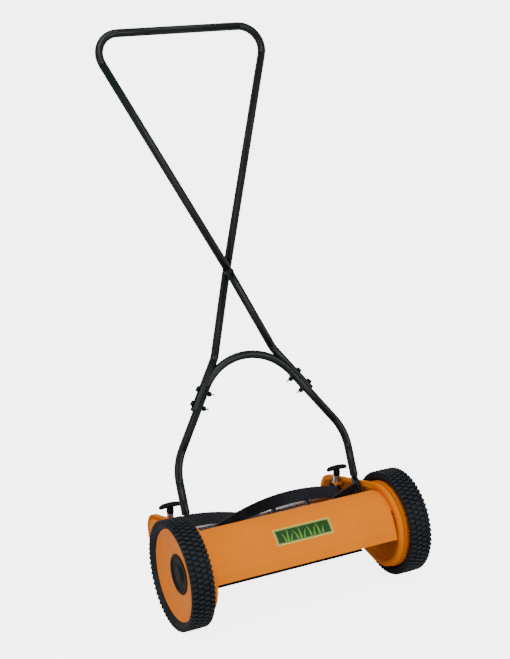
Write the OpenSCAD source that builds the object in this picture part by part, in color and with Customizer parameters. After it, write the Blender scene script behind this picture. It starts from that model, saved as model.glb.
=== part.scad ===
// Push reel mower: two driving wheels, a geared helical reel, a bed knife,
// a curved front shield, a rear height roller and a crossed tube handle.
// X is across the mower, +Y points back to the user, Z is up.
// The origin is on the ground, midway between the wheels, below their axles.

/* [Wheels] */
// Outer diameter of the tyres
wheel_d = 230; // [200:1:276]
// Overall width of the mower over its two tyres
track_w = 560; // [470:1:680]
// Width of each tyre's tread
tyre_w = 51; // [42:1:60]
// Depth of the rubber from the tread down to its seat on the wheel
tyre_t = 23.5; // [18:0.5:28]
// Radius of the stub axles
axle_r = 8; // [6:0.5:10]
// Outer diameter of the hub caps
cap_d = 84; // [60:1:90]

/* [Cutting unit] */
// Radius of the reel to the cutting edges of its blades
reel_r = 79.5; // [66:0.5:79.5]
// Turn of each blade from one end of the reel to the other, in degrees
blade_twist = 100; // [60:1:110]
// Thickness of each blade
blade_t = 3; // [2:0.5:4]
// Depth of each blade, from its cutting edge to its inner edge
blade_depth = 28; // [20:1:32]
// Radius of the reel's shaft
shaft_r = 8; // [6:0.5:9]
// Gap between the blades' cutting edges and the bed knife
cut_gap = 0.3; // [0.2:0.05:0.6]
// Width of the bed knife from front to back
knife_w = 34; // [28:1:40]

/* [Gears] */
// Gear module
gear_m = 2; // [1.5:0.1:2]
// Teeth on each wheel's ring gear
ring_teeth = 84; // [84:1:84]
// Teeth on each pinion
pinion_teeth = 14; // [14:1:14]
// Face width of the gears
gear_w = 13; // [10:1:15]

/* [Body] */
// Thickness of the pressed side plates
plate_t = 2; // [1.5:0.5:3]
// Radius of the round part of each side plate
plate_r = 92; // [88:0.5:93]
// Radius of the round tail of each side plate
tail_r = 47; // [40:1:52]
// Distance from the axle back to the centre of the tail
tail_y = 208; // [196:1:240]
// Outer radius of the curved front shield
shield_r = 78.7; // [74:0.1:78.8]
// Thickness of the shield's sheet
shield_t = 1.2; // [0.8:0.1:1.6]
// Diameter of the rear tie rod
tie_d = 15; // [10:1:18]

/* [Handle] */
// Diameter of the handle tubes
tube_d = 18; // [16:0.5:20]
// Wall of the handle tubes
tube_wall = 1.2; // [1:0.1:2]
// Length from the pivot to the middle of the top bar, along the handle
handle_len = 1102; // [900:1:1300]
// Lean of the handle back from upright, in degrees
handle_lean = 26.3; // [20:0.1:35]
// Half the distance between the two handle legs at the side plates
leg_x = 204; // [203:0.5:205]
// Distance from the pivot up to the crown of the lower handle's arch
arch_top = 367; // [335:1:400]
// Centreline radius of the arch
arch_r = 125; // [110:1:140]
// Slope of the lower handle's legs below the arch, in degrees
leg_slope = 34; // [30:1:38]
// Distance from the pivot up to the point where the upper legs cross
cross_at = 550; // [510:1:610]
// Slope of the upper handle's crossed legs, in degrees
cross_slope = 21.6; // [18:0.1:24]
// Radius of the M6 handle bolts
bolt_r = 3; // [2.5:0.5:4]

/* [Roller] */
// Diameter of the rear roller
roller_d = 50; // [40:1:60]
// Distance from the axle back to the roller
roller_y = 192; // [186:1:200]
// Radius of the threaded height screws
screw_r = 4; // [3:0.5:5]
// Clear space left under and over the height screws' nut tabs
height_travel = 10; // [6:1:10]

/* [Fits] */
// Radial clearance of everything that turns in a bore
run_gap = 0.08; // [0.02:0.01:0.1]
// Gap between pieces that are bolted or hooked together
fit_gap = 0.3; // [0.2:0.05:0.5]

/* [Hidden] */

// overlap that keeps two joined surfaces from only just touching
hair = 0.02;
$fn = 64;
RIGHT = 1;
LEFT = -1;
big = 400;

// wheel stations, measured out from the middle of the mower
wheel_r = wheel_d / 2;
tyre_out = track_w / 2;
tyre_in = tyre_out - tyre_w;
axle_z = wheel_r;
seat_r = wheel_r - tyre_t;
sidewall_in = 10;
lip_out = tyre_out - sidewall_in;
bead_in = tyre_in + sidewall_in - 1;
drum_in = tyre_in - 3;
rim_lip_r = seat_r + 4.5;
drum_r = seat_r + 2.9;
drum_wall = 2.5;
web_t = 4;
hub_face = lip_out - 16;
bush_wall = 3;
hub_r = axle_r + bush_wall + 4;
cap_r = cap_d / 2;
washer_t = 1.2;
nut_t = 3.8;

// gears: the pinion runs inside the ring, behind and level with the axle
ring_pitch_r = gear_m * ring_teeth / 2;
pinion_pitch_r = gear_m * pinion_teeth / 2;
reel_y = ring_pitch_r - pinion_pitch_r;
reel_z = axle_z + 1;
gear_axis_y = sqrt(reel_y * reel_y - 1);
gear_in = drum_in + 7;
pressure_angle = 20;
backlash = 0.35;
ring_body_r = seat_r - drum_wall;

// side plate stations: the rim stands inboard of the recessed web
rim_x = drum_in - 11.5;
web_x = rim_x + 8;
web_out = web_x + plate_t;
rim_w = plate_r - shield_r - 0.8;
tail_z = axle_z - 21;

// reel
reel_half = rim_x - 22;
blade_in_r = reel_r - blade_depth;
blade_n = 5;
spider_n = 5;
spider_t = 4;
blade_phase = -15;
shaft_end = gear_in + gear_w + 3.4;
bearing_r = shaft_r + 6;
bearing_flange = bearing_r + 3;
clip_t = 1.2;
shaft_groove = 1;

// cutter bar
knife_t = 3.2;
knife_y = reel_y + 2;
knife_top = reel_z - sqrt(reel_r * reel_r - 4) - cut_gap;
bar_half = rim_x - 1;
bar_pivot = [knife_y + 33, reel_z - reel_r + 16.5];
bar_toe = 16;
bar_h = 11;
adjuster = [knife_y + 62, reel_z - reel_r + 20.5];
bar_bolt_r = 4;
knife_screw_n = 5;
knife_screw_r = 2.5;
knife_screw_x = [for (i = [0 : knife_screw_n - 1]) (i - 2) * reel_half * 0.45];
knife_screw_y = knife_y + knife_w / 2 + 6;

// shield
shield_back = 15;
shield_front = 60;
shield_half = rim_x - 3;
shield_flat = 20;
shield_fold = 10;
shield_lip = 18;
label_w = 132;
label_from = 27.5;
label_to = 53.5;
label_t = 0.4;
tab_angle = [-6, 42];
tab_screws = [4, 32];
tab_screw_r = 2.5;
tab_mid = shield_r - 9;

// rear tie rod
tie_at = [222, axle_z - 36];
tie_stud_r = 4;

// handle plane: s runs up the handle from the pivot, n stands off its front
pivot = [60.4, axle_z + 28.7];
tube_r = tube_d / 2;
foot_t = 5;
foot_w = 25;
foot_top = 60;
stud_r = 5;
spacer_r = 8;
arch_c = arch_top - arch_r;
arch_peak = arch_c + arch_r / sin(leg_slope);
leg_bend = arch_peak - leg_x / tan(leg_slope);
leg_bend_r = 120;
corner_r = 50;
saddle_shift = 6;
saddle_len = 57;
cross_rise = tube_r + 0.4;
cross_bend_r = 200;
saddle_bend_r = 60;
cross_tan = tan(cross_slope);
top_half = (handle_len - cross_at) * cross_tan;
bend_s = (arch_r + saddle_shift + arch_c * sin(leg_slope) - cross_at * cross_tan * cos(leg_slope))
    / (sin(leg_slope) - cross_tan * cos(leg_slope));
bend_x = (cross_at - bend_s) * cross_tan;
bolt_at = [9, 43];

// roller and its height screws
roller_r = roller_d / 2;
bracket_t = 3;
bracket_x = rim_x - 1 - bracket_t;
bracket_w = 28;
bracket_top = axle_z + 18;
tab_t = 4;
screw_x = rim_x - 8.5;
screw_y = 167;
lug_t = 3;
lug_z = bracket_top + height_travel + 1;
sleeve_r = 7.5;
sleeve_h = 18;
knob_h = 24;
knob_stem_r = 8;
knob_bar = 52;
knob_bar_r = 5.5;
screw_bottom = bracket_top - tab_t - height_travel - 4;
guide_r = 4;
guide_z = [axle_z - 32, axle_z - 10];
slot_half = guide_r + fit_gap;
roller_half = bracket_x - 8;
roller_axle_r = 5;

// ---- placing -----------------------------------------------------------

// Puts children on one side of the mower: they are drawn for the right side.
module on_side(side) {
    if (side == LEFT) mirror([1, 0, 0]) children();
    else children();
}

module both_sides() {
    on_side(RIGHT) children();
    on_side(LEFT) children();
}

// Turns a shape drawn along +Z so that it runs outboard along +X, from x = from.
// Drawn X becomes -Z and drawn Y stays Y.
module outboard(from, y, z) {
    translate([from, y, z]) rotate([0, 90, 0]) children();
}

// A ring or disc about an X axis, from x = a to x = b.
module barrel(a, b, r, bore, y, z) {
    outboard(a, y, z)
        linear_extrude(b - a)
            difference() {
                circle(r);
                if (bore > 0) circle(bore);
            }
}

// A solid of revolution about an X axis; its outline is a list of [radius, x].
module spun(outline, y, z) {
    outboard(0, y, z) rotate_extrude($fn = 128) polygon(outline);
}

// A plate in the YZ plane, from x = a to x = b, drawn with 2D X as Y and 2D Y as Z.
module plate(a, b) {
    multmatrix([[0, 0, 1, a], [1, 0, 0, 0], [0, 1, 0, 0], [0, 0, 0, 1]])
        linear_extrude(b - a) children();
}

function unit(v) = v / norm(v);

module framed(o, ex, ez) {
    ey = cross(ez, ex);
    multmatrix([
        [ex[0], ey[0], ez[0], o[0]],
        [ex[1], ey[1], ez[1], o[1]],
        [ex[2], ey[2], ez[2], o[2]],
        [0, 0, 0, 1]
    ]) children();
}

// ---- tubes -------------------------------------------------------------

module ring2d(ro, ri) {
    difference() {
        circle(ro);
        if (ri > 0) circle(ri);
    }
}

function side_of(d) = abs(d[0]) < 0.9 ? unit(cross(d, [1, 0, 0])) : unit(cross(d, [0, 1, 0]));
function turn_of(p, i) = acos(unit(p[i] - p[i - 1]) * unit(p[i + 1] - p[i]));
function trim(p, r, i) = i <= 0 || i >= len(p) - 1 ? 0 : r[i] * tan(turn_of(p, i) / 2);

// A tube through the points p, with bend radius r[i] at each inner point. Each bend
// is a hair thinner in the wall and runs a little way into the straights it joins.
module bent_tube(p, r, ro, ri) {
    last = len(p) - 1;
    for (i = [0 : last - 1]) {
        d = unit(p[i + 1] - p[i]);
        framed(p[i] + d * trim(p, r, i), side_of(d), d)
            linear_extrude(norm(p[i + 1] - p[i]) - trim(p, r, i) - trim(p, r, i + 1))
                ring2d(ro, ri);
    }
    for (i = [1 : last - 1]) {
        u = unit(p[i] - p[i - 1]);
        v = unit(p[i + 1] - p[i]);
        n = unit(v - u * (u * v));
        over = 180 / (PI * r[i]);
        framed(p[i] - u * trim(p, r, i) + n * r[i], -n, cross(-n, u))
            rotate([0, 0, -over])
                rotate_extrude(angle = turn_of(p, i) + 2 * over)
                    translate([r[i], 0]) ring2d(ro - hair, ri > 0 ? ri + hair : 0);
    }
}

// ---- wheels ------------------------------------------------------------

module tyre() {
    shoulder = 4;
    color([0.08, 0.1, 0.12])
        spun([
            [seat_r, bead_in], [drum_r + 0.8, bead_in], [wheel_r - shoulder, tyre_in],
            [wheel_r, tyre_in + shoulder], [wheel_r, tyre_out - shoulder],
            [wheel_r - shoulder, tyre_out], [rim_lip_r + 0.6, lip_out + 1],
            [rim_lip_r + 0.6, lip_out - 3], [seat_r, lip_out - 3]
        ], 0, axle_z);
}

module wheel_disc() {
    dish_r = seat_r - drum_wall;
    gear_out = gear_in + gear_w;
    color([0.85, 0.47, 0.14])
        spun([
            [axle_r + bush_wall, drum_in + 3], [hub_r, drum_in + 3], [hub_r, hub_face - web_t],
            [cap_r + 4, hub_face - web_t], [cap_r + 4, hub_face + 3],
            [dish_r - 3, lip_out - 8], [dish_r - 3, gear_out], [dish_r, gear_out],
            [dish_r, drum_in], [drum_r, drum_in], [drum_r, bead_in], [seat_r, bead_in],
            [seat_r, lip_out - 3], [rim_lip_r, lip_out - 3], [rim_lip_r, lip_out],
            [dish_r + 1, lip_out], [dish_r - 2, lip_out - 4], [cap_r + 2, lip_out - 10.5],
            [cap_r, lip_out - 10.5], [cap_r, hub_face], [axle_r + bush_wall, hub_face]
        ], 0, axle_z);
}

module wheel_bush() {
    color([0.7, 0.6, 0.4])
        barrel(drum_in + 3, hub_face, axle_r + bush_wall, axle_r + run_gap, 0, axle_z);
}

module hub_cap() {
    crown = lip_out - 8.5;
    shell = 1.8;
    dip = 3;
    boss_r = 16;
    color([0.07, 0.07, 0.08])
        spun([
            [0, crown], [boss_r, crown], [boss_r + 4, crown - dip], [cap_r - 9, crown - dip],
            [cap_r - 5, crown], [cap_r - 1, crown], [cap_r, crown - 1], [cap_r, hub_face],
            [cap_r - shell, hub_face], [cap_r - shell, crown - shell],
            [cap_r - 5, crown - shell], [cap_r - 9, crown - dip - shell],
            [boss_r + 4, crown - dip - shell], [boss_r, crown - shell], [0, crown - shell]
        ], 0, axle_z);
}

module stub_axle() {
    color([0.6, 0.6, 0.62])
        union() {
            barrel(web_x - 4, web_x, axle_r + 7, 0, 0, axle_z);
            barrel(web_x - 0.01, hub_face + washer_t + nut_t, axle_r, 0, 0, axle_z);
            barrel(web_out, drum_in + 3 - fit_gap, axle_r + 5, 0, 0, axle_z);
        }
}

module axle_washers() {
    color([0.72, 0.72, 0.74])
        both_sides()
            barrel(hub_face + 0.2, hub_face + 0.2 + washer_t, axle_r + 5, axle_r, 0, axle_z);
}

module axle_nuts() {
    start = hub_face + 0.2 + washer_t;
    color([0.66, 0.66, 0.68])
        both_sides()
            outboard(start, 0, axle_z)
                linear_extrude(nut_t - 0.4)
                    difference() {
                        circle(axle_r + 4.5, $fn = 6);
                        circle(axle_r);
                    }
}

// ---- gears -------------------------------------------------------------

function inv_deg(a) = tan(a) * 180 / PI - a;
function flank_half(r, pitch_r, base_r, half0) =
    half0 + inv_deg(pressure_angle) - inv_deg(acos(min(1, base_r / r)));

// One tooth's outline from root to root, as points about the tooth at angle 0.
function tooth(pitch_r, root_r, tip_r, half0) =
    let(base_r = pitch_r * cos(pressure_angle),
        low = max(root_r + 0.05, base_r + 0.02),
        rs = [low, (low + pitch_r) / 2, pitch_r, (pitch_r + tip_r) / 2, tip_r],
        up = [for (r = rs) [r, -flank_half(r, pitch_r, base_r, half0)]],
        down = [for (k = [4 : -1 : 0]) [rs[k], flank_half(rs[k], pitch_r, base_r, half0)]])
    concat([[root_r, up[0][1]]], up, down, [[root_r, down[4][1]]]);

module gear2d(teeth, pitch_r, root_r, tip_r, half0, phase) {
    outline = tooth(pitch_r, root_r, tip_r, half0);
    polygon([
        for (k = [0 : teeth - 1], q = outline)
            q[0] * [cos(phase + k * 360 / teeth + q[1]), sin(phase + k * 360 / teeth + q[1])]
    ]);
}

// The pinion sits behind the axle, so both gears mesh on the line that joins
// their centres; the reel's axis is a little above the axle's.
mesh_line = asin(1 / reel_y);

module at_gears(y, z) {
    multmatrix([[0, 0, 1, gear_in], [1, 0, 0, y], [0, 1, 0, z], [0, 0, 0, 1]])
        rotate(mesh_line) children();
}

module ring_gear() {
    half_gap = 90 / ring_teeth + backlash * 90 / (PI * ring_pitch_r);
    color([0.12, 0.12, 0.13])
        at_gears(0, axle_z)
            linear_extrude(gear_w)
                difference() {
                    circle(ring_body_r, $fn = 128);
                    gear2d(ring_teeth, ring_pitch_r, ring_pitch_r - gear_m * 0.75,
                        ring_pitch_r + gear_m * 1.25, half_gap, 0);
                }
}

module pinion() {
    half_tooth = 90 / pinion_teeth - backlash * 90 / (PI * pinion_pitch_r);
    notch = 1.4;
    color([0.6, 0.58, 0.52])
        at_gears(gear_axis_y, reel_z)
            linear_extrude(gear_w)
                difference() {
                    gear2d(pinion_teeth, pinion_pitch_r, pinion_pitch_r - gear_m * 1.2,
                        pinion_pitch_r + gear_m * 0.9, half_tooth, 0);
                    circle(shaft_r + run_gap);
                    for (k = [0 : 5])
                        rotate(60 * k) translate([shaft_r - 2, -1.2]) square([2 + notch, 2.4]);
                }
}

// ---- reel --------------------------------------------------------------

module reel_pawls() {
    pawl_l = 2 * shaft_r - 1;
    color([0.55, 0.55, 0.58])
        both_sides()
            translate([gear_in + 2, gear_axis_y - 1.75, reel_z - pawl_l / 2])
                cube([gear_w - 4, 3.5, pawl_l]);
}

module pinion_clips() {
    color([0.5, 0.5, 0.53])
        both_sides()
            barrel(shaft_end - 2.6, shaft_end - 2.6 + clip_t, shaft_r + 3,
                shaft_r - shaft_groove, gear_axis_y, reel_z);
}

module reel_shaft() {
    slot_l = 2 * shaft_r + 2;
    color([0.1, 0.1, 0.11])
        difference() {
            barrel(-shaft_end, shaft_end, shaft_r, 0, gear_axis_y, reel_z);
            both_sides() {
                translate([gear_in + 2, gear_axis_y - 1.75, reel_z - slot_l / 2])
                    cube([gear_w - 4, 3.5, slot_l]);
                barrel(shaft_end - 2.6, shaft_end - 2.6 + clip_t, shaft_r + 2,
                    shaft_r - shaft_groove, gear_axis_y, reel_z);
            }
        }
}

function blade_angle(x) = blade_phase - blade_twist * x / (2 * reel_half);

// Turns a shape that is drawn pointing up so that it leans to the blade angle.
module at_blade(k, x) {
    translate([0, gear_axis_y, reel_z])
        rotate([blade_angle(x) + k * 360 / blade_n, 0, 0])
            children();
}

module reel_spiders() {
    arm_w = 16;
    arm_in = 15;
    hub_r = 22;
    color([0.1, 0.1, 0.11])
        for (i = [0 : spider_n - 1]) {
            x = -reel_half + 6 + i * (2 * reel_half - 12 - spider_t) / (spider_n - 1);
            difference() {
                union() {
                    barrel(x - 1, x + spider_t + 1, hub_r, 0, gear_axis_y, reel_z);
                    for (k = [0 : blade_n - 1])
                        at_blade(k, x + spider_t / 2)
                            translate([x, -arm_w / 2, arm_in])
                                cube([spider_t, arm_w, blade_in_r + 4 - arm_in]);
                }
                barrel(x - 2, x + spider_t + 2, shaft_r, 0, gear_axis_y, reel_z);
            }
        }
}

// One blade: a flat bar on edge, twisted evenly round the shaft from end to end.
module reel_blade(k) {
    steps = 44;
    corners = [
        [reel_r - blade_depth, -blade_t / 2], [reel_r, -blade_t / 2],
        [reel_r, blade_t / 2], [reel_r - blade_depth, blade_t / 2]
    ];
    points = [
        for (i = [0 : steps])
            let (x = -reel_half + 2 * reel_half * i / steps, a = blade_angle(x) + k * 360 / blade_n)
            for (c = corners)
                [
                    x, gear_axis_y - c[0] * sin(a) + c[1] * cos(a),
                    reel_z + c[0] * cos(a) + c[1] * sin(a)
                ]
    ];
    sides = [
        for (i = [0 : steps - 1])
            for (j = [0 : 3])
                let (p = 4 * i + j, q = 4 * i + (j + 1) % 4)
                for (f = [[p, q, q + 4], [p, q + 4, p + 4]]) f
    ];
    last = 4 * steps;
    color([0.07, 0.08, 0.1])
        polyhedron(points, concat([[0, 3, 2, 1]], sides, [[last, last + 1, last + 2, last + 3]]));
}

module reel_bearing() {
    color([0.62, 0.5, 0.3])
        difference() {
            union() {
                barrel(web_x - 6, web_out + 2, bearing_r, 0, gear_axis_y, reel_z);
                barrel(web_x - 3, web_x, bearing_flange, 0, gear_axis_y, reel_z);
            }
            barrel(web_x - 7, web_out + 3, shaft_r + run_gap, 0, gear_axis_y, reel_z);
        }
}

// ---- side plates and shield --------------------------------------------

tail_dist = norm([tail_y, tail_z - axle_z]);
tail_dir = atan2(tail_z - axle_z, tail_y);

// The side plate's outline, drawn in from its edge by an inset: two circles
// joined by their common tangents.
module plate_outline(inset) {
    a = plate_r - inset;
    b = tail_r - inset;
    fan = acos((a - b) / tail_dist);
    c = a - hair;
    d = b - hair;
    translate([0, axle_z]) circle(a, $fn = 128);
    translate([tail_y, tail_z]) circle(b, $fn = 96);
    translate([0, axle_z]) rotate(tail_dir)
        polygon([
            [c * cos(fan), c * sin(fan)],
            [c * cos(fan), -c * sin(fan)],
            [tail_dist + d * cos(fan), -d * sin(fan)],
            [tail_dist + d * cos(fan), d * sin(fan)]
        ]);
}

module plate_holes() {
    translate([0, axle_z]) circle(axle_r);
    translate([gear_axis_y, reel_z]) circle(bearing_r);
    translate(pivot) circle(stud_r);
    translate([tie_at[0], tie_at[1]]) circle(tie_stud_r);
    translate(bar_pivot) circle(bar_bolt_r);
    translate(adjuster) circle(bar_bolt_r);
    for (z = guide_z) translate([roller_y, z]) circle(guide_r);
    for (a = tab_screws)
        translate([-tab_mid * sin(a), axle_z + tab_mid * cos(a)]) circle(tab_screw_r);
}

module side_plate() {
    color([0.86, 0.48, 0.14])
        difference() {
            plate(rim_x, web_out) plate_outline(0);
            plate(rim_x - 1, web_x) plate_outline(rim_w);
            plate(rim_x + plate_t, web_out + 1)
                difference() { plate_outline(plate_t); plate_outline(rim_w - plate_t); }
            plate(rim_x - 1, web_out + 1) plate_holes();
        }
}

function on_arc(r, a) = [-r * sin(a), axle_z + r * cos(a)];

// Part of a ring about the axle, between two angles counted from the top to the front.
module arc2d(ro, ri, a0, a1) {
    difference() {
        translate([0, axle_z]) circle(ro, $fn = 128);
        translate([0, axle_z]) circle(ri, $fn = 128);
        translate([0, axle_z]) rotate(a1) translate([-big, -big]) square([big, 2 * big]);
        translate([0, axle_z]) rotate(a0) translate([0, -big]) square([big, 2 * big]);
    }
}

module front_shield() {
    t = shield_t;
    a1 = shield_front;
    knee = on_arc(shield_r, a1) + shield_flat * [-cos(a1), -sin(a1)];
    lip_a = a1 + shield_fold;
    foot = knee + shield_lip * [-cos(lip_a), -sin(lip_a)];
    color([0.87, 0.5, 0.14])
        difference() {
            union() {
                plate(-shield_half, shield_half) {
                    arc2d(shield_r, shield_r - t, -shield_back, a1);
                    polygon([
                        on_arc(shield_r, a1), knee, foot,
                        foot + t * [sin(lip_a), -cos(lip_a)],
                        knee + t * [sin(a1), -cos(a1)], on_arc(shield_r - t, a1)
                    ]);
                }
                both_sides() {
                    plate(shield_half - 0.01, web_x)
                        arc2d(shield_r, shield_r - t, tab_angle[0], tab_angle[1]);
                    plate(web_x - t, web_x)
                        arc2d(shield_r, shield_r - 18, tab_angle[0], tab_angle[1]);
                }
            }
            both_sides()
                plate(web_x - 3, web_x + 1)
                    for (a = tab_screws) translate(on_arc(tab_mid, a)) circle(tab_screw_r);
        }
}

module shield_label() {
    color([0.1, 0.3, 0.12])
        plate(-label_w / 2, label_w / 2)
            arc2d(shield_r + label_t, shield_r, label_from, label_to);
}

module shield_screws() {
    color([0.7, 0.7, 0.72])
        both_sides()
            for (a = tab_screws) {
                p = on_arc(tab_mid, a);
                barrel(web_x - shield_t - 2.5, web_x - shield_t, tab_screw_r + 2.2, 0, p[0], p[1]);
                barrel(web_x - shield_t, web_out, tab_screw_r, 0, p[0], p[1]);
            }
}

module rear_tie_rod() {
    color([0.72, 0.73, 0.74])
        union() {
            barrel(-web_x, web_x, tie_d / 2, 0, tie_at[0], tie_at[1]);
            both_sides() barrel(web_x - 0.01, web_out + 6, tie_stud_r, 0, tie_at[0], tie_at[1]);
        }
}

module hex_ring(from, h, flat_r, bore, y, z) {
    outboard(from, y, z)
        linear_extrude(h)
            difference() {
                circle(flat_r, $fn = 6);
                circle(bore);
            }
}

module tie_rod_nuts() {
    color([0.7, 0.7, 0.72])
        both_sides() hex_ring(web_out, 5, tie_stud_r + 3.5, tie_stud_r, tie_at[0], tie_at[1]);
}

// ---- cutter bar --------------------------------------------------------

module cutter_bar() {
    top = knife_top - knife_t;
    color([0.1, 0.1, 0.11])
        difference() {
            union() {
                plate(-bar_half, bar_half)
                    polygon([
                        [knife_y + 3, top], [knife_y - bar_toe, top - bar_h],
                        [knife_y - bar_toe + 5, top - bar_h - 1.5], [knife_y + 8, top - 5],
                        [knife_y + knife_w + 4, top - 5], [knife_y + knife_w + 4, top]
                    ]);
                both_sides()
                    plate(bar_half - 4, bar_half)
                        difference() {
                            union() {
                                translate(bar_pivot) circle(11);
                                translate(adjuster) circle(9);
                                polygon([
                                    [knife_y + 10, top - 5], bar_pivot + [-10, 4],
                                    bar_pivot + [0, 11], adjuster + [0, 9],
                                    adjuster + [4, -8], [knife_y + knife_w + 4, top - 5]
                                ]);
                            }
                            translate(bar_pivot) circle(bar_bolt_r + run_gap);
                            translate(adjuster) circle(bar_bolt_r + 1.6);
                        }
            }
            for (x = knife_screw_x)
                translate([x, knife_screw_y, top - 10])
                    cylinder(h = 20, r = knife_screw_r);
        }
}

module bed_knife() {
    color([0.62, 0.63, 0.65])
        difference() {
            plate(-reel_half - 4, reel_half + 4)
                polygon([
                    [knife_y, knife_top], [knife_y + 3, knife_top - knife_t],
                    [knife_y + knife_w, knife_top - knife_t], [knife_y + knife_w, knife_top]
                ]);
            for (x = knife_screw_x)
                translate([x, knife_screw_y, knife_top - 10])
                    cylinder(h = 20, r = knife_screw_r);
        }
}

module knife_screws() {
    head = 1.6;
    length = knife_t + 9;
    color([0.3, 0.3, 0.32])
        for (x = knife_screw_x)
            translate([x, knife_screw_y, knife_top - length]) {
                cylinder(h = length, r = knife_screw_r);
                translate([0, 0, length]) cylinder(h = head, r = knife_screw_r + 2);
                cylinder(h = 3.5, r = knife_screw_r + 2.4, $fn = 6);
            }
}

module plate_bolt(p, r, inner, head_h) {
    barrel(inner - head_h, inner, r + 4, 0, p[0], p[1]);
    barrel(inner, web_out + 1, r, 0, p[0], p[1]);
}

module cutter_bar_bolts() {
    color([0.66, 0.66, 0.68])
        both_sides() plate_bolt(bar_pivot, bar_bolt_r, bar_half - 4 - fit_gap, 4);
}

module knife_adjusters() {
    color([0.66, 0.66, 0.68])
        both_sides() plate_bolt(adjuster, bar_bolt_r, bar_half - 4 - fit_gap, 4);
}

// ---- handle ------------------------------------------------------------

up_dir = [0, sin(handle_lean), cos(handle_lean)];
front_dir = [0, -cos(handle_lean), sin(handle_lean)];
function hp(x, s, n = 0) = [x, pivot[0], pivot[1]] + s * up_dir + n * front_dir;

arch_path = [
    hp(-leg_x, foot_top), hp(-leg_x, leg_bend), hp(0, arch_peak),
    hp(leg_x, leg_bend), hp(leg_x, foot_top)
];
arch_bends = [0, leg_bend_r, arch_r, leg_bend_r, 0];

// A point on the lower handle's sloping leg: d down from the arch, off outward.
function on_leg(d, off) =
    let(c = cos(leg_slope), s = sin(leg_slope))
    [arch_r * c + off * c + d * s, arch_c + arch_r * s + off * s - d * c];
function leg_point(side, d, off) =
    let(q = on_leg(d, off)) hp(side * q[0], q[1]);
function leg_normal(side) = leg_point(side, 0, 1) - leg_point(side, 0, 0);

module handle_foot() {
    module in_plane() {
        multmatrix([
            [0, 0, 1, leg_x - foot_t / 2],
            [-front_dir[1], up_dir[1], 0, pivot[0]],
            [-front_dir[2], up_dir[2], 0, pivot[1]],
            [0, 0, 0, 1]
        ]) children();
    }
    in_plane()
        linear_extrude(foot_t)
            difference() {
                union() {
                    circle(foot_w / 2);
                    translate([-foot_w / 2, 0]) square([foot_w, foot_top - 12]);
                    polygon([
                        [-foot_w / 2, foot_top - 12.01], [foot_w / 2, foot_top - 12.01],
                        [tube_r - 0.5, foot_top + 12], [-tube_r + 0.5, foot_top + 12]
                    ]);
                }
                circle(stud_r + run_gap);
            }
}

module bolt_holes(r) {
    for (side = [LEFT, RIGHT], d = bolt_at)
        framed(leg_point(side, d, -30), side_of(leg_normal(side)), leg_normal(side))
            cylinder(h = 60, r = r);
}

module lower_handle() {
    color([0.1, 0.13, 0.14])
        difference() {
            union() {
                bent_tube(arch_path, arch_bends, tube_r, tube_r - tube_wall);
                both_sides() handle_foot();
            }
            bolt_holes(bolt_r + 0.2);
        }
}

upper_path = [
    leg_point(LEFT, saddle_len, saddle_shift), hp(-bend_x, bend_s), hp(0, cross_at, -cross_rise),
    hp(top_half, handle_len), hp(-top_half, handle_len),
    hp(0, cross_at, cross_rise), hp(bend_x, bend_s), leg_point(RIGHT, saddle_len, saddle_shift)
];
upper_bends = [0, saddle_bend_r, cross_bend_r, corner_r, corner_r, cross_bend_r, saddle_bend_r, 0];

module cross_hole(r) {
    framed(hp(0, cross_at, -30), [1, 0, 0], front_dir) cylinder(h = 60, r = r);
}

module upper_handle() {
    color([0.1, 0.13, 0.14])
        difference() {
            bent_tube(upper_path, upper_bends, tube_r, tube_r - tube_wall);
            bent_tube(arch_path, arch_bends, tube_r + fit_gap, 0);
            bolt_holes(bolt_r + 0.2);
            cross_hole(bolt_r + 0.2);
        }
}

module handle_bolts() {
    head_h = 3.5;
    reach = saddle_shift + tube_r;
    color([0.07, 0.08, 0.09])
        for (side = [LEFT, RIGHT], d = bolt_at)
            framed(leg_point(side, d, reach), side_of(leg_normal(side)), leg_normal(side)) {
                cylinder(h = head_h, r = bolt_r + 3.5);
                translate([0, 0, -reach - tube_r - 8]) cylinder(h = reach + tube_r + 8, r = bolt_r);
            }
}

module wing_nuts() {
    nut_h = 6;
    color([0.07, 0.08, 0.09])
        for (side = [LEFT, RIGHT], d = bolt_at)
            framed(leg_point(side, d, -tube_r), side_of(leg_normal(side)), -leg_normal(side))
                difference() {
                    union() {
                        cylinder(h = nut_h, r = bolt_r + 2.5);
                        rotate([90, 0, 0])
                            linear_extrude(2.4, center = true)
                                polygon([
                                    [-4, 0.5], [4, 0.5], [12, nut_h + 5], [8, nut_h + 6],
                                    [4, nut_h], [-4, nut_h], [-8, nut_h + 6], [-12, nut_h + 5]
                                ]);
                    }
                    translate([0, 0, -1]) cylinder(h = nut_h + 9, r = bolt_r);
                }
}

module cross_bolt() {
    reach = cross_rise + tube_r;
    color([0.07, 0.08, 0.09])
        framed(hp(0, cross_at, -reach), [1, 0, 0], front_dir) {
            cylinder(h = 2 * reach, r = bolt_r);
            translate([0, 0, -4]) cylinder(h = 4, r = bolt_r + 2.8, $fn = 6);
            translate([0, 0, 2 * reach]) cylinder(h = 3, r = bolt_r + 2.8);
        }
}

module handle_studs() {
    color([0.7, 0.7, 0.72])
        both_sides()
            barrel(leg_x - foot_t / 2 - 8, web_out + 2, stud_r, 0, pivot[0], pivot[1]);
}

module stud_spacers() {
    color([0.7, 0.7, 0.72])
        both_sides()
            barrel(leg_x + foot_t / 2 + fit_gap, web_x, spacer_r, stud_r, pivot[0], pivot[1]);
}

module stud_nuts() {
    color([0.7, 0.7, 0.72])
        both_sides()
            hex_ring(leg_x - foot_t / 2 - fit_gap - 5, 5, stud_r + 4, stud_r, pivot[0], pivot[1]);
}

// ---- roller and height screws ------------------------------------------

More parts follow.
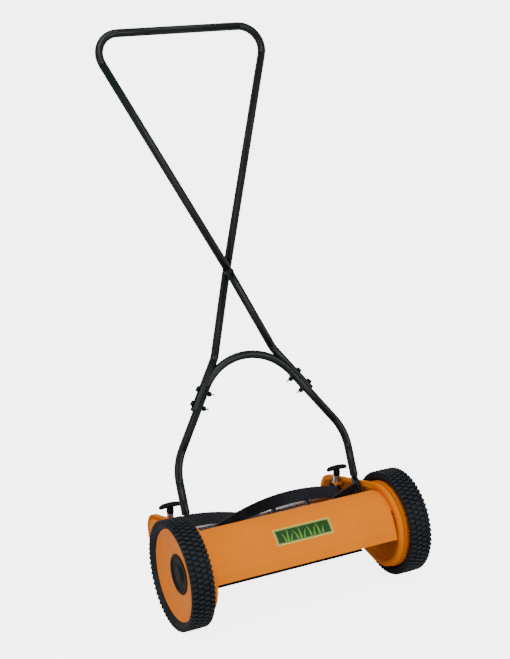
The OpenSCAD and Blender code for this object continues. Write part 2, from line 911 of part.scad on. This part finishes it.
module screw_lugs() {
    reach = rim_x - screw_x;
    color([0.86, 0.48, 0.14])
        both_sides()
            difference() {
                translate([screw_x - 8, screw_y - 9, lug_z]) cube([reach + 8, 18, lug_t]);
                translate([screw_x, screw_y, lug_z - 1]) cylinder(h = lug_t + 2, r = screw_r + run_gap);
            }
}

module guide_bolts() {
    head_h = 3;
    color([0.68, 0.68, 0.7])
        both_sides()
            for (z = guide_z) {
                barrel(bracket_x - fit_gap - head_h, bracket_x - fit_gap, guide_r + 3.5, 0, roller_y, z);
                barrel(bracket_x - fit_gap, web_out + 1, guide_r, 0, roller_y, z);
            }
}

module roller_bracket() {
    slot_low = guide_z[0] - height_travel;
    slot_high = guide_z[1] + height_travel;
    color([0.2, 0.2, 0.21])
        difference() {
            union() {
                plate(bracket_x, bracket_x + bracket_t) {
                    translate([roller_y - bracket_w / 2, roller_r])
                        square([bracket_w, bracket_top - roller_r]);
                    translate([roller_y, roller_r]) circle(bracket_w / 2);
                }
                translate([screw_x - 8, screw_y - 9, bracket_top - tab_t])
                    cube([bracket_x + bracket_t - screw_x + 8, roller_y - screw_y + 9, tab_t]);
            }
            plate(bracket_x - 1, bracket_x + bracket_t + 1) {
                translate([roller_y - slot_half, slot_low])
                    square([2 * slot_half, slot_high - slot_low]);
                translate([roller_y, slot_low]) circle(slot_half);
                translate([roller_y, slot_high]) circle(slot_half);
                translate([roller_y, roller_r]) circle(roller_axle_r);
            }
            translate([screw_x, screw_y, bracket_top - tab_t - 1])
                cylinder(h = tab_t + 2, r = screw_r + run_gap);
        }
}

module roller_axle() {
    color([0.6, 0.6, 0.62])
        barrel(-bracket_x - bracket_t, bracket_x + bracket_t, roller_axle_r, 0, roller_y, roller_r);
}

module roller_nuts() {
    color([0.66, 0.66, 0.68])
        both_sides()
            hex_ring(bracket_x - 5, 5, roller_axle_r + 3.5, roller_axle_r, roller_y, roller_r);
}

module rear_roller() {
    color([0.09, 0.09, 0.1])
        spun([
            [roller_axle_r + run_gap, -roller_half + 2], [roller_r - 2, -roller_half],
            [roller_r, -roller_half + 2], [roller_r, roller_half - 2],
            [roller_r - 2, roller_half], [roller_axle_r + run_gap, roller_half - 2]
        ], roller_y, roller_r);
}

module height_screw() {
    color([0.78, 0.79, 0.8])
        translate([screw_x, screw_y, screw_bottom])
            cylinder(h = lug_z + lug_t + sleeve_h + 8 - screw_bottom, r = screw_r);
}

module screw_sleeves() {
    color([0.8, 0.81, 0.82])
        both_sides()
            translate([screw_x, screw_y, lug_z + lug_t])
                difference() {
                    cylinder(h = sleeve_h, r = sleeve_r);
                    translate([0, 0, -1]) cylinder(h = sleeve_h + 2, r = screw_r + run_gap);
                }
}

module height_knob() {
    base = lug_z + lug_t + sleeve_h + fit_gap;
    color([0.06, 0.06, 0.07])
        translate([screw_x, screw_y, base])
            difference() {
                union() {
                    cylinder(h = knob_h - knob_bar_r, r = knob_stem_r);
                    translate([-knob_bar / 2, 0, knob_h - knob_bar_r]) rotate([0, 90, 0])
                        cylinder(h = knob_bar, r = knob_bar_r);
                }
                translate([0, 0, -1]) cylinder(h = 9 - fit_gap, r = screw_r);
            }
}

// ---- nodes -------------------------------------------------------------

on_side(LEFT) tyre();  // left_tyre
tyre();  // right_tyre
on_side(LEFT) wheel_disc();  // left_wheel_disc
wheel_disc();  // right_wheel_disc
on_side(LEFT) ring_gear();  // left_ring_gear
ring_gear();  // right_ring_gear
on_side(LEFT) wheel_bush();  // left_wheel_bush
wheel_bush();  // right_wheel_bush
on_side(LEFT) hub_cap();  // left_hub_cap
hub_cap();  // right_hub_cap
on_side(LEFT) stub_axle();  // left_stub_axle
stub_axle();  // right_stub_axle
axle_washers();
axle_nuts();
on_side(LEFT) pinion();  // left_pinion
pinion();  // right_pinion
reel_pawls();
pinion_clips();
reel_shaft();
reel_spiders();
reel_blade(0);  // reel_blade_1
reel_blade(1);  // reel_blade_2
reel_blade(2);  // reel_blade_3
reel_blade(3);  // reel_blade_4
reel_blade(4);  // reel_blade_5
on_side(LEFT) reel_bearing();  // left_reel_bearing
reel_bearing();  // right_reel_bearing
on_side(LEFT) side_plate();  // left_side_plate
side_plate();  // right_side_plate
front_shield();
shield_label();
shield_screws();
rear_tie_rod();
tie_rod_nuts();
cutter_bar();
bed_knife();
knife_screws();
cutter_bar_bolts();
knife_adjusters();
handle_studs();
stud_spacers();
stud_nuts();
lower_handle();
upper_handle();
handle_bolts();
wing_nuts();
cross_bolt();
screw_lugs();
guide_bolts();
screw_sleeves();
on_side(LEFT) roller_bracket();  // left_roller_bracket
roller_bracket();  // right_roller_bracket
roller_axle();
roller_nuts();
rear_roller();
on_side(LEFT) height_screw();  // left_height_screw
height_screw();  // right_height_screw
on_side(LEFT) height_knob();  // left_height_knob
height_knob();  // right_height_knob
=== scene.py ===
"""Push reel mower: the looks of every piece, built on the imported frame. All lengths are in metres."""

from math import cos, pi, radians, sin

import bmesh
import bpy
import numpy as np
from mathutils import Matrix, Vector


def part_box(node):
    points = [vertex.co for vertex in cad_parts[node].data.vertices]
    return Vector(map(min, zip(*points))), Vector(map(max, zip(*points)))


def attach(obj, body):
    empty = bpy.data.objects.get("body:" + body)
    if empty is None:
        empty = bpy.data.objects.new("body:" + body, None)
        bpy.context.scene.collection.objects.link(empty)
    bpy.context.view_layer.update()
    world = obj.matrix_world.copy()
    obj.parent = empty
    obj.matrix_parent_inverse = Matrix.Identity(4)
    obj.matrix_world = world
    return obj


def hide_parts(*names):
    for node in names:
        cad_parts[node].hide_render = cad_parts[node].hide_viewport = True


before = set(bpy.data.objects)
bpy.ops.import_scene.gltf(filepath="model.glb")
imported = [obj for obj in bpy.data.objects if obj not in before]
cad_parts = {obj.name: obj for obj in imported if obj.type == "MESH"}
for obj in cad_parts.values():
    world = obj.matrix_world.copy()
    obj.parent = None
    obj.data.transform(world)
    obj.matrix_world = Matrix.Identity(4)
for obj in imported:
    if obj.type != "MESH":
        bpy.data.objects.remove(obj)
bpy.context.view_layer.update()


# ---- making surfaces and finishes ------------------------------------------


def add(tree, kind, **given):
    """Adds one shader node. A socket given is linked; any other value is set on the property or input of
    that name, where i0, i1 stand for inputs by number and _ stands for a space."""
    made = tree.nodes.new("ShaderNode" + kind)
    for key, value in given.items():
        if hasattr(made, key):
            setattr(made, key, value)
            continue
        name = int(key[1:]) if key[0] == "i" and key[1:].isdigit() else key.replace("_", " ")
        if isinstance(value, bpy.types.NodeSocket):
            tree.links.new(value, made.inputs[name])
        else:
            made.inputs[name].default_value = value
    return made


def blended(tree, mask, low, high):
    """Colour low where the mask is 0, high where it is 1."""
    mix = add(tree, "Mix", data_type="RGBA")
    for socket, value in ((mix.inputs[0], mask), (mix.inputs[6], low), (mix.inputs[7], high)):
        if isinstance(value, bpy.types.NodeSocket):
            tree.links.new(value, socket)
        else:
            socket.default_value = (*value, 1) if len(value) == 3 else value
    return mix.outputs[2]


def ramped(tree, value, a, b, low=0.0, high=1.0):
    """low + (high - low) * (value - a) / (b - a), held between low and high."""
    return add(tree, "MapRange", Value=value, From_Min=a, From_Max=b, To_Min=low, To_Max=high).outputs[0]


def finish(
    name, colour, worn, rough, spread, grain, depth, metallic=0.0, shine=0.25, stretch=(1, 1, 1), patch=0.03
):
    """A finish and its tree, base colour and shader: the colour drifts between colour and worn over patch
    metres, roughness is rough +- spread over a fifth of that, grain metres of noise is depth deep, and
    shine is the strength of the mirror part of a finish that isn't metal."""
    made = bpy.data.materials.new(name)
    made.use_nodes = True
    tree = made.node_tree
    tree.nodes.clear()
    place = add(tree, "TexCoord").outputs["Object"]
    drift = add(tree, "TexNoise", Vector=place, Scale=1 / patch, Detail=5.0, Roughness=0.62).outputs[0]
    base = blended(tree, ramped(tree, drift, 0.38, 0.68), colour, worn)
    smear = add(tree, "TexNoise", Vector=place, Scale=5 / patch, Detail=3.0).outputs[0]
    gloss = ramped(tree, smear, 0.3, 0.7, max(rough - spread, 0.03), rough + spread)
    along = add(tree, "Mapping", Vector=place, Scale=stretch).outputs[0]
    fine = add(tree, "TexNoise", Vector=along, Scale=1 / grain, Detail=3.0).outputs[0]
    bump = add(tree, "Bump", Height=fine, Distance=depth, Strength=1.0)
    shader = add(
        tree, "BsdfPrincipled", Base_Color=base, Roughness=gloss, Normal=bump.outputs[0],
        Metallic=metallic, Specular_IOR_Level=shine,
    )
    add(tree, "OutputMaterial", Surface=shader.outputs[0])
    return made, tree, base, shader


def radius_from(tree, y, z):
    """Distance from the line through (y, z) that runs along X: sqrt((Y - y)^2 + (Z - z)^2)."""
    place = add(tree, "TexCoord").outputs["Object"]
    offset = add(tree, "VectorMath", operation="SUBTRACT", i0=place, i1=(0, y, z)).outputs[0]
    flat = add(tree, "VectorMath", operation="MULTIPLY", i0=offset, i1=(0, 1, 1)).outputs[0]
    return add(tree, "VectorMath", operation="LENGTH", i0=flat).outputs["Value"]


def skin(node, body, material, angle=34):
    """A smooth copy of a CAD node: equal corners are merged, and edges over angle degrees stay crisp."""
    mesh = bpy.data.meshes.new(node)
    work = bmesh.new()
    work.from_mesh(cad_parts[node].data)
    bmesh.ops.remove_doubles(work, verts=work.verts, dist=2e-6)
    bmesh.ops.recalc_face_normals(work, faces=work.faces)
    work.to_mesh(mesh)
    work.free()
    mesh.shade_smooth()
    mesh.set_sharp_from_angle(angle=radians(angle))
    piece = bpy.data.objects.new(node + "_skin", mesh)
    bpy.context.scene.collection.objects.link(piece)
    mesh.materials.append(material)
    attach(piece, body)
    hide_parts(node)


def surface(name, grid, wrap_u, wrap_v, body, material, node, angle=34):
    """A mesh through grid[u, v], its rows and columns joined where they wrap. A grid that wraps along v
    only is closed by a flat face at each end."""
    rows, columns = grid.shape[:2]
    number = np.arange(rows * columns).reshape(rows, columns)
    if wrap_u:
        number = np.vstack([number, number[:1]])
    if wrap_v:
        number = np.hstack([number, number[:, :1]])
    quads = np.stack([number[:-1, :-1], number[1:, :-1], number[1:, 1:], number[:-1, 1:]], -1).reshape(-1, 4)
    faces = quads.tolist()
    if wrap_v and not wrap_u:
        faces += [number[0, :-1].tolist(), number[-1, :-1][::-1].tolist()]
    mesh = bpy.data.meshes.new(name)
    mesh.from_pydata(grid.reshape(-1, 3).tolist(), [], faces)
    work = bmesh.new()
    work.from_mesh(mesh)
    bmesh.ops.recalc_face_normals(work, faces=work.faces)
    work.to_mesh(mesh)
    work.free()
    mesh.shade_smooth()
    mesh.set_sharp_from_angle(angle=radians(angle))
    mesh.materials.append(material)
    piece = bpy.data.objects.new(name, mesh)
    bpy.context.scene.collection.objects.link(piece)
    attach(piece, body)
    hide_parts(node)
    return piece


# ---- tyres: moulded rubber bands with four rows of staggered bars, pressed over the wheels' drums -----

rubber, tree, base, shader = finish(
    "tyre_rubber", (0.007, 0.0105, 0.015), (0.012, 0.0155, 0.020),
    0.6, 0.08, 0.0007, 0.0001, shine=0.18, patch=0.02,
)
# the sunk grooves between the tread bars are painted darker than the rubber: painted shade in the hollows of
# the tread
hollow = add(tree, "Attribute", attribute_name="hollow").outputs["Fac"]
groove_painted_shade = blended(tree, ramped(tree, hollow, 0.2, 1.0, 0.0, 0.5), base, (0.002, 0.003, 0.005))
tree.links.new(groove_painted_shade, shader.inputs["Base Color"])

bars = 64
bar_share = 0.53
tread_r, tread_mid, axle_z = 0.115, 0.2545, 0.115
across = [0, 0.06, 0.3, 0.46, 0.5, 0.56, 0.8, 0.96]
turn = 2 * pi * (np.arange(bars)[:, None] + np.array(across)[None, :]).ravel() / bars
phase = np.tile(np.array(across), bars)
# one point of the section: radius, x, how much of a bar it carries, and which row of bars
section = [(0.0962, 0.2378, 0, 0), (0.0990, 0.2335, 0, 0), (0.1040, 0.2305, 0, 0), (0.1048, 0.2300, 0.6, 0)]
section += [(0.1080, 0.2293, 1, 0), (0.1115, 0.2292, 1, 0), (0.1138, 0.2300, 1, 0), (0.1148, 0.2318, 1, 0)]
edges = [0.2325, 0.2416, 0.2545, 0.2674, 0.2765]
for row in range(4):
    a, b = edges[row], edges[row + 1]
    crown = tread_r - 0.6 * (((a + b) / 2 - tread_mid) ** 2)
    section += [(crown, a + 0.0009, 1, row), (crown, (a + b) / 2, 1, row), (crown, b - 0.0009, 1, row)]
    if row < 3:
        section += [(crown, b - 0.0005, 0, row), (crown, b + 0.0005, 0, row)]
section += [(0.1148, 0.2772, 1, 3), (0.1138, 0.2790, 1, 3), (0.1115, 0.2798, 1, 3), (0.1080, 0.2797, 1, 3)]
section += [(0.1048, 0.2790, 0.6, 3), (0.1040, 0.2785, 0, 3), (0.0998, 0.2745, 0, 3), (0.0972, 0.2712, 0, 3)]
section += [(0.0966, 0.2700, 0, 3), (0.0920, 0.2665, 0, 3), (0.0915, 0.2655, 0, 3), (0.0915, 0.2385, 0, 0)]
section += [(0.0935, 0.2379, 0, 0)]
section = np.array(section)
radius, station, carries, row = section.T
step = np.roll(section[:, :2], -1, 0) - np.roll(section[:, :2], 1, 0)
outward = np.stack([step[:, 1], -step[:, 0]], 1) / np.linalg.norm(step, axis=1)[:, None]
odd = (row % 2)[None, :]
beat = (phase[:, None] + 0.5 * odd) % 1.0
bar = np.where((beat < bar_share) | (beat > 0.985), 1.0, 0.0)
sunk = np.where((radius > 0.1043)[None, :], 1 - carries[None, :] * bar, 0.0)
groove = 0.0036
sink = groove * sunk * np.where(radius > 0.112, 1.0, 0.5)[None, :]
reach = radius[None, :] - sink * outward[None, :, 0]
for side, sign in (("left", -1), ("right", 1)):
    x = sign * (station[None, :] - sink * outward[None, :, 1])
    grid = np.stack([x, -reach * np.sin(turn)[:, None], axle_z + reach * np.cos(turn)[:, None]], -1)
    tyre = surface(side + "_tyre_skin", grid, True, True, side + "_wheel", rubber,
                   side + "_tyre", 30)
    # the hollow attribute marks the sunk grooves, which the rubber darkens as painted shade
    mark = tyre.data.attributes.new("hollow", "FLOAT", "POINT").data
    mark.foreach_set("value", sunk.ravel().astype(np.float32))


# ---- wheels: orange moulded discs, each with a drum that carries the tyre and hides the ring gear -----

wheel_orange = finish(
    "wheel_orange", (0.80, 0.195, 0.003), (0.74, 0.175, 0.003),
    0.46, 0.06, 0.0016, 0.00003, shine=0.15, patch=0.06,
)[0]
for side in ("left", "right"):
    skin(side + "_wheel_disc", side + "_wheel", wheel_orange, 30)


# ---- hub caps: black moulded cups clipped over the axle nuts ------------------------------------------

cap_black = finish(
    "cap_black", (0.002, 0.004, 0.0045), (0.004, 0.006, 0.0065),
    0.5, 0.06, 0.0009, 0.00004, shine=0.12, patch=0.02,
)[0]
for side in ("left", "right"):
    skin(side + "_hub_cap", side + "_wheel", cap_black, 40)


# ---- drive inside the wheels: nylon ring gear, sintered pinion on the reel shaft, greased -------------

nylon = finish(
    "gear_nylon", (0.020, 0.020, 0.022), (0.035, 0.034, 0.032), 0.45, 0.1, 0.0012, 0.00005, patch=0.012
)[0]
sintered = finish(
    "pinion_iron", (0.16, 0.15, 0.14), (0.09, 0.08, 0.07),
    0.42, 0.1, 0.0005, 0.00003, metallic=0.9, patch=0.008,
)[0]
bronze = finish(
    "bearing_bronze", (0.42, 0.26, 0.10), (0.25, 0.15, 0.06),
    0.36, 0.08, 0.0004, 0.00002, metallic=1.0, patch=0.01,
)[0]
turned = finish(
    "turned_steel", (0.40, 0.40, 0.41), (0.28, 0.27, 0.26), 0.3, 0.08, 0.0009, 0.00001,
    metallic=1.0, stretch=(8, 1, 1), patch=0.015,
)[0]
zinc = finish(
    "zinc_plate", (0.62, 0.63, 0.64), (0.46, 0.48, 0.50),
    0.26, 0.09, 0.0006, 0.00002, metallic=1.0, patch=0.008,
)[0]
for side in ("left", "right"):
    skin(side + "_ring_gear", side + "_wheel", nylon)
    skin(side + "_wheel_bush", side + "_wheel", bronze)
    skin(side + "_pinion", side + "_drive_pinion", sintered)
    skin(side + "_reel_bearing", "frame", bronze)
    skin(side + "_stub_axle", "frame", turned)
skin("axle_washers", "frame", zinc)
skin("axle_nuts", "frame", zinc)
skin("reel_pawls", "reel", turned)
skin("pinion_clips", "reel", turned)


# ---- reel: black-painted shaft, five spiders and five twisted blades, their cutting edges ground bare ---

reel_paint, tree, base, shader = finish(
    "reel_paint", (0.005, 0.006, 0.009), (0.009, 0.010, 0.014), 0.40, 0.08, 0.0015, 0.00001, patch=0.02
)
reach_out = radius_from(tree, 0.069993, 0.116)
ground = ramped(tree, reach_out, 0.07875, 0.07905)
edge = blended(tree, ground, base, (0.05, 0.052, 0.056))
tree.links.new(edge, shader.inputs["Base Color"])
tree.links.new(ground, shader.inputs["Metallic"])
for node in ("reel_shaft", "reel_spiders", *(f"reel_blade_{k}" for k in range(1, 6))):
    skin(node, "reel", reel_paint, 30)


# ---- side plates and shield: pressed steel in orange enamel -------------------------------------------

enamel = finish(
    "orange_enamel", (0.80, 0.205, 0.0), (0.75, 0.185, 0.0),
    0.42, 0.05, 0.0022, 0.00003, shine=0.03, patch=0.09,
)[0]
for side in ("left", "right"):
    skin(side + "_side_plate", "frame", enamel, 30)
skin("front_shield", "frame", enamel, 30)
skin("screw_lugs", "frame", enamel, 30)
skin("shield_screws", "frame", zinc)


# ---- label: thin green foil on the shield, with a pale border and a pattern of grass blades -----------

foil, tree, base, shader = finish(
    "label_foil", (0.012, 0.055, 0.008), (0.009, 0.045, 0.007), 0.4, 0.05, 0.0012, 0.00001, patch=0.02
)
ink = add(tree, "Attribute", attribute_name="ink").outputs["Fac"]
leaf = blended(tree, ramped(tree, ink, 0.15, 0.35), base, (0.10, 0.30, 0.02))
pale = blended(tree, ramped(tree, ink, 0.6, 0.9), leaf, (0.58, 0.55, 0.12))
tree.links.new(pale, shader.inputs["Base Color"])
half_w, top_r, low_r = 0.066, 0.0791, 0.07872
first, last = 27.5, 53.5
foil_x = np.linspace(-half_w, half_w, 320)
foil_a = np.radians(np.linspace(first, last, 100))
loop_a = np.concatenate([foil_a, foil_a[::-9]])
loop_r = np.concatenate([np.full(foil_a.size, top_r), np.full(loop_a.size - foil_a.size, low_r)])
across_x = np.repeat(foil_x[:, None], loop_a.size, 1)
grid = np.stack(
    [across_x, np.broadcast_to(-loop_r * np.sin(loop_a), across_x.shape),
     np.broadcast_to(axle_z + loop_r * np.cos(loop_a), across_x.shape)], -1,
)
up = np.broadcast_to((np.radians(last) - loop_a) * top_r, across_x.shape)
tall = np.radians(last - first) * top_r
from_edge = np.minimum(np.minimum(half_w - np.abs(across_x), up), tall - up)
border = np.where((from_edge < 0.0022) | ((from_edge > 0.0036) & (from_edge < 0.0042)), 1.0, 0.0)
# each leaf: root x, height, lean and half width; its middle line bends with the square of the height
leaves = np.zeros_like(across_x)
ground_line = 0.0055
for root, height, lean, wide in [
    (-0.044, 0.020, -0.006, 0.0022), (-0.038, 0.026, 0.004, 0.0026), (-0.031, 0.017, 0.009, 0.0020),
    (-0.016, 0.022, -0.008, 0.0024), (-0.008, 0.027, -0.001, 0.0028), (0.000, 0.019, 0.007, 0.0022),
    (0.015, 0.024, -0.005, 0.0026), (0.023, 0.021, 0.006, 0.0022), (0.035, 0.026, -0.003, 0.0026),
    (0.043, 0.018, 0.006, 0.0020),
]:
    t = np.clip((up - ground_line) / height, 0, 1)
    inside = np.abs(across_x - root - lean * t * t) < wide * (1 - t) ** 0.7
    leaves = np.maximum(leaves, np.where(inside & (up > ground_line) & (t < 1), 0.5, 0.0))
drawn = np.maximum(leaves * (border < 0.5), border)
label = surface("shield_label_skin", grid, False, True, "frame", foil, "shield_label", 40)
label.data.attributes.new("ink", "FLOAT", "POINT").data.foreach_set("value", drawn.ravel().astype(np.float32))


# ---- cutting parts under the reel: black cutter bar, ground bed knife, their screws and adjusters -----

black_enamel = finish(
    "black_enamel", (0.003, 0.004, 0.005), (0.006, 0.007, 0.009),
    0.42, 0.08, 0.0018, 0.00002, shine=0.12, patch=0.03,
)[0]
knife_steel = finish(
    "knife_steel", (0.33, 0.33, 0.34), (0.22, 0.21, 0.20), 0.3, 0.08, 0.0008, 0.00001,
    metallic=1.0, stretch=(0.08, 1, 1), patch=0.02,
)[0]
skin("cutter_bar", "knife_bar", black_enamel)
skin("bed_knife", "knife_bar", knife_steel)
skin("knife_screws", "knife_bar", knife_steel)
skin("cutter_bar_bolts", "frame", zinc)
skin("knife_adjusters", "frame", zinc)


# ---- rear tie rod: bright plated rod that holds the side plates apart ---------------------------------

skin("rear_tie_rod", "frame", zinc)
skin("tie_rod_nuts", "frame", zinc)


# ---- handle: blue-black powder-coated tube in two bent parts, bolted at the saddles and the crossing ---

powder = finish(
    "handle_powder", (0.003, 0.006, 0.007), (0.005, 0.009, 0.010),
    0.24, 0.05, 0.0013, 0.00001, shine=0.22, patch=0.04,
)[0]
skin("lower_handle", "handle", powder, 34)
skin("upper_handle", "handle", powder, 34)
skin("handle_bolts", "handle", black_enamel)
skin("wing_nuts", "handle", black_enamel)
skin("cross_bolt", "handle", black_enamel)
skin("handle_studs", "frame", zinc)
skin("stud_spacers", "frame", zinc)
skin("stud_nuts", "frame", zinc)


# ---- height setting: zinc screws and sleeves, black T-knobs, black brackets and the rear roller -------

skin("screw_sleeves", "frame", zinc)
low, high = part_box("right_height_knob")
middle = (low + high) / 2
# the bar runs along X and its ends droop: half depth, half thickness and drop at each station
along = np.linspace(-1, 1, 41)
drop = 0.0030 * along**2 * np.abs(along)
rounded = np.sqrt(np.clip(1.004 - along**16, 0.03, 1))
half_long, thick, bar_z = 0.026, 0.0055, high.z - 0.0056
half_deep = 0.0075 * (1 - 0.35 * along**2) * rounded
half_tall = thick * (1 - 0.15 * along**2) * rounded
turn = np.linspace(0, 2 * pi, 28, endpoint=False)
stem_z = np.array([low.z, low.z, low.z + 0.0012, low.z + 0.008, middle.z, high.z - 0.010, high.z - 0.006])
stem_r = np.array([0.0045, 0.0070, 0.0082, 0.0082, 0.0072, 0.0068, 0.0085])
for side, sign in (("left", -1), ("right", 1)):
    across = np.repeat((sign * middle.x + half_long * along)[:, None], turn.size, 1)
    bar = np.stack(
        [across, middle.y + half_deep[:, None] * np.cos(turn),
         (bar_z - drop)[:, None] + half_tall[:, None] * np.sin(turn)], -1,
    )
    stem = np.stack(
        [sign * middle.x + stem_r[:, None] * np.cos(turn), middle.y + stem_r[:, None] * np.sin(turn),
         np.repeat(stem_z[:, None], turn.size, 1)], -1,
    )
    for name, grid in (("_height_knob_skin", bar), ("_knob_stem", stem)):
        surface(side + name, grid, False, True, side + "_screw", cap_black,
                side + "_height_knob", 50)
skin("guide_bolts", "frame", zinc)
for side in ("left", "right"):
    skin(side + "_height_screw", side + "_screw", zinc)
    skin(side + "_roller_bracket", "roller_carriage", black_enamel)
skin("roller_axle", "roller_carriage", turned)
skin("roller_nuts", "roller_carriage", zinc)
skin("rear_roller", "roller", cap_black)


# ---- studio: pale floor that curves up behind and glows for the eye alone, and three broad soft lights ---

floor_pale, tree, base, shader = finish(
    "studio_floor", (0.80, 0.80, 0.79), (0.78, 0.78, 0.77), 0.7, 0.02, 0.01, 0.00002, patch=0.5
)
seen = add(tree, "LightPath").outputs["Is Camera Ray"]
lifted = add(tree, "Math", operation="MULTIPLY", i0=seen, i1=4.6).outputs[0]
shader.inputs["Emission Color"].default_value = (1.0, 1.0, 0.99, 1)
tree.links.new(lifted, shader.inputs["Emission Strength"])
bend = np.linspace(0, pi / 2, 24)
run = np.concatenate([[-6.0], 3.0 + 1.5 * np.sin(bend), [4.5]])
rise = np.concatenate([[0.0], 1.5 - 1.5 * np.cos(bend), [6.0]])
heading = radians(-26.77)
wide = np.array([-7.0, 7.0])
flat_x = wide[:, None] * cos(heading) - run[None, :] * sin(heading)
flat_y = wide[:, None] * sin(heading) + run[None, :] * cos(heading)
grid = np.stack([flat_x, flat_y, np.broadcast_to(rise, flat_x.shape)], -1)
number = np.arange(grid.shape[0] * grid.shape[1]).reshape(grid.shape[:2])
quads = np.stack([number[:-1, :-1], number[1:, :-1], number[1:, 1:], number[:-1, 1:]], -1).reshape(-1, 4)
mesh = bpy.data.meshes.new("studio_floor")
mesh.from_pydata(grid.reshape(-1, 3).tolist(), [], quads.tolist())
mesh.shade_smooth()
mesh.materials.append(floor_pale)
floor = bpy.data.objects.new("studio_floor", mesh)
bpy.context.scene.collection.objects.link(floor)

world = bpy.data.worlds.new("studio")
bpy.context.scene.world = world
world.use_nodes = True
world.node_tree.nodes["Background"].inputs["Color"].default_value = (1.0, 1.0, 1.0, 1)
world.node_tree.nodes["Background"].inputs["Strength"].default_value = 0.6
for name, place, size, power in (
    ("overhead", (-0.6, -0.6, 3.2), 2.6, 62.0),
    ("front", (1.6, -3.0, 1.9), 2.4, 45.0),
    ("side", (-3.2, -0.8, 1.6), 1.8, 22.0),
):
    lamp = bpy.data.lights.new(name, "AREA")
    lamp.shape = "DISK"
    lamp.size = size
    lamp.energy = power
    hung = bpy.data.objects.new(name, lamp)
    hung.location = place
    hung.rotation_euler = (Vector((0, 0, 0.3)) - Vector(place)).to_track_quat("-Z", "Y").to_euler()
    bpy.context.scene.collection.objects.link(hung)

camera = bpy.data.objects.new("camera", bpy.data.cameras.new("camera"))
camera.location = (-1.1837, -2.1750, 1.4826)
camera.rotation_euler = (radians(70.42), 0, heading)
camera.data.sensor_width = 36
camera.data.lens = 71.95
bpy.context.scene.collection.objects.link(camera)
bpy.context.scene.camera = camera
